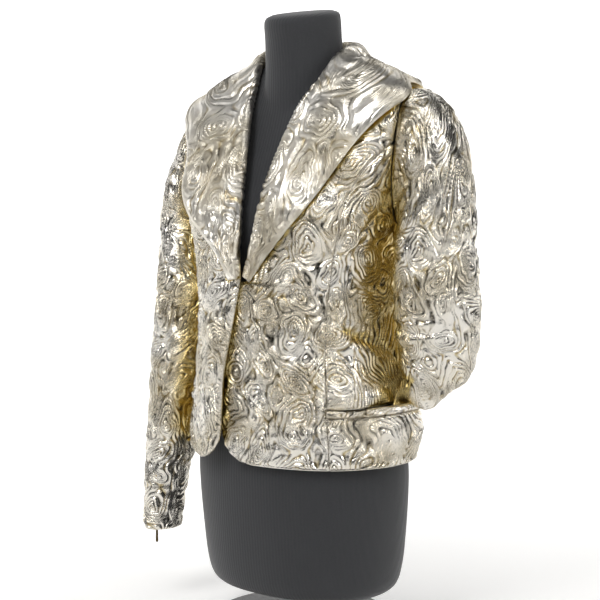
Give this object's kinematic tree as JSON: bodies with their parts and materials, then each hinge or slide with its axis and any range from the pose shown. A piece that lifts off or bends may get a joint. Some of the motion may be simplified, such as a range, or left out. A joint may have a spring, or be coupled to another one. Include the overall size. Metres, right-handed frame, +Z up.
{
  "type": "quilted blazer on a dress form",
  "caption": "Fitted evening blazer of quilted foil cloth with a wide shawl collar, worn over a limbless dress form on a round stand.",
  "frame": {"origin": "on the floor, under the middle of the stand's round base", "axes": "+Z up, -Y the way the wearer faces, +X towards the wearer's left"},
  "size_m": [0.527, 0.2769, 0.8648],
  "materials": {
    "foil_cloth": "crinkled metallic foil on quilted cloth, champagne gold",
    "form_jersey": "matt charcoal knit jersey",
    "stand_steel": "satin black paint",
    "brass": "darkened antique brass"
  },
  "bodies": {
    "blazer_on_form": {"stand_base": "stand_steel", "stand_post": "stand_steel", "dress_form": "form_jersey", "back": "foil_cloth", "front_left_centre": "foil_cloth", "front_left_side": "foil_cloth", "front_left_lower": "foil_cloth", "pocket_welt_left": "foil_cloth", "collar_left": "foil_cloth", "front_right_centre": "foil_cloth", "front_right_side": "foil_cloth", "front_right_lower": "foil_cloth", "pocket_welt_right": "foil_cloth", "collar_right": "foil_cloth", "sleeve_left": "foil_cloth", "sleeve_right": "foil_cloth", "snap": "brass", "zip_tape_right": "brass", "zip_slider_right": "brass"},
    "zip_pull": {"zip_pull_right": "brass"}
  },
  "joints": [
    {"name": "zip_pull_swing", "type": "hinge", "parent": "blazer_on_form", "child": "zip_pull", "pos_m": [-0.24176, -0.05016, 0.11708], "axis": [0.4078, 0.9127, -0.028], "range_deg": [0, 150]}
  ]
}
